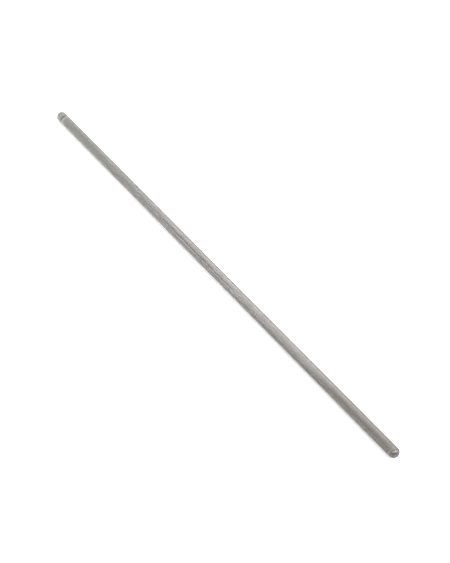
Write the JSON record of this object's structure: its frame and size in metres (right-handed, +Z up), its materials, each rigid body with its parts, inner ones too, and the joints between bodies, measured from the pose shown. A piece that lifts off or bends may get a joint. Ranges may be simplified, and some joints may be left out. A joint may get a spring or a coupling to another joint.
{
  "type": "glass stirring rod",
  "caption": "Solid straight glass rod with both ends fire-polished to full domes, for stirring liquids in a beaker.",
  "frame": {"origin": "on the rod's axis, halfway between its tips", "axes": "+X along the rod's axis, +Z up as the rod lies; the section is round, so Y and Z are alike"},
  "size_m": [0.3, 0.006, 0.006],
  "materials": {
    "smoky_glass": "drawn and fire-polished, faint lengthwise draw lines"
  },
  "bodies": {
    "root": {"glass_rod": "smoky_glass"}
  },
  "joints": []
}
